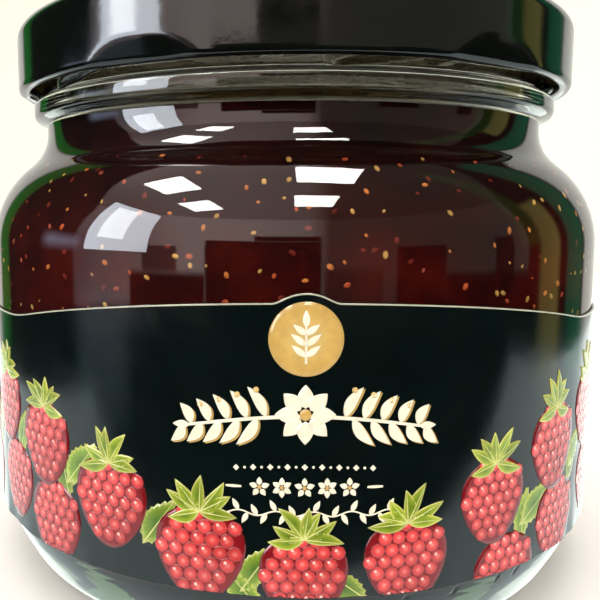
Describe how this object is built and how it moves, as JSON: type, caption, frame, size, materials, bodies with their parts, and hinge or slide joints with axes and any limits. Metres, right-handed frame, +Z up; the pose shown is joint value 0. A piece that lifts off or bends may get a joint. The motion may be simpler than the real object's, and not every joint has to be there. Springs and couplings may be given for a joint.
{
  "type": "jam jar",
  "caption": "Squat shouldered glass jar filled with dark fruit jam, shut with a black twist-off lid and wrapped in a glossy printed label.",
  "frame": {"origin": "on the jar's axis, in the plane of the flat standing ring under its base", "axes": "+Z up along the jar's axis towards the lid; the middle of the label faces -Y"},
  "size_m": [0.095, 0.095, 0.08],
  "materials": {
    "glass_jar": "clear soda-lime glass, very slightly green at the edges",
    "lid": "gloss black lacquered tinplate",
    "label": "glossy black printed film with red fruit along its lower edge",
    "jam": "very dark red jam with pale seeds and fruit lumps"
  },
  "bodies": {
    "root": {"glass_jar": "glass_jar", "lid": "lid", "label": "label", "jam": "jam"}
  },
  "joints": []
}
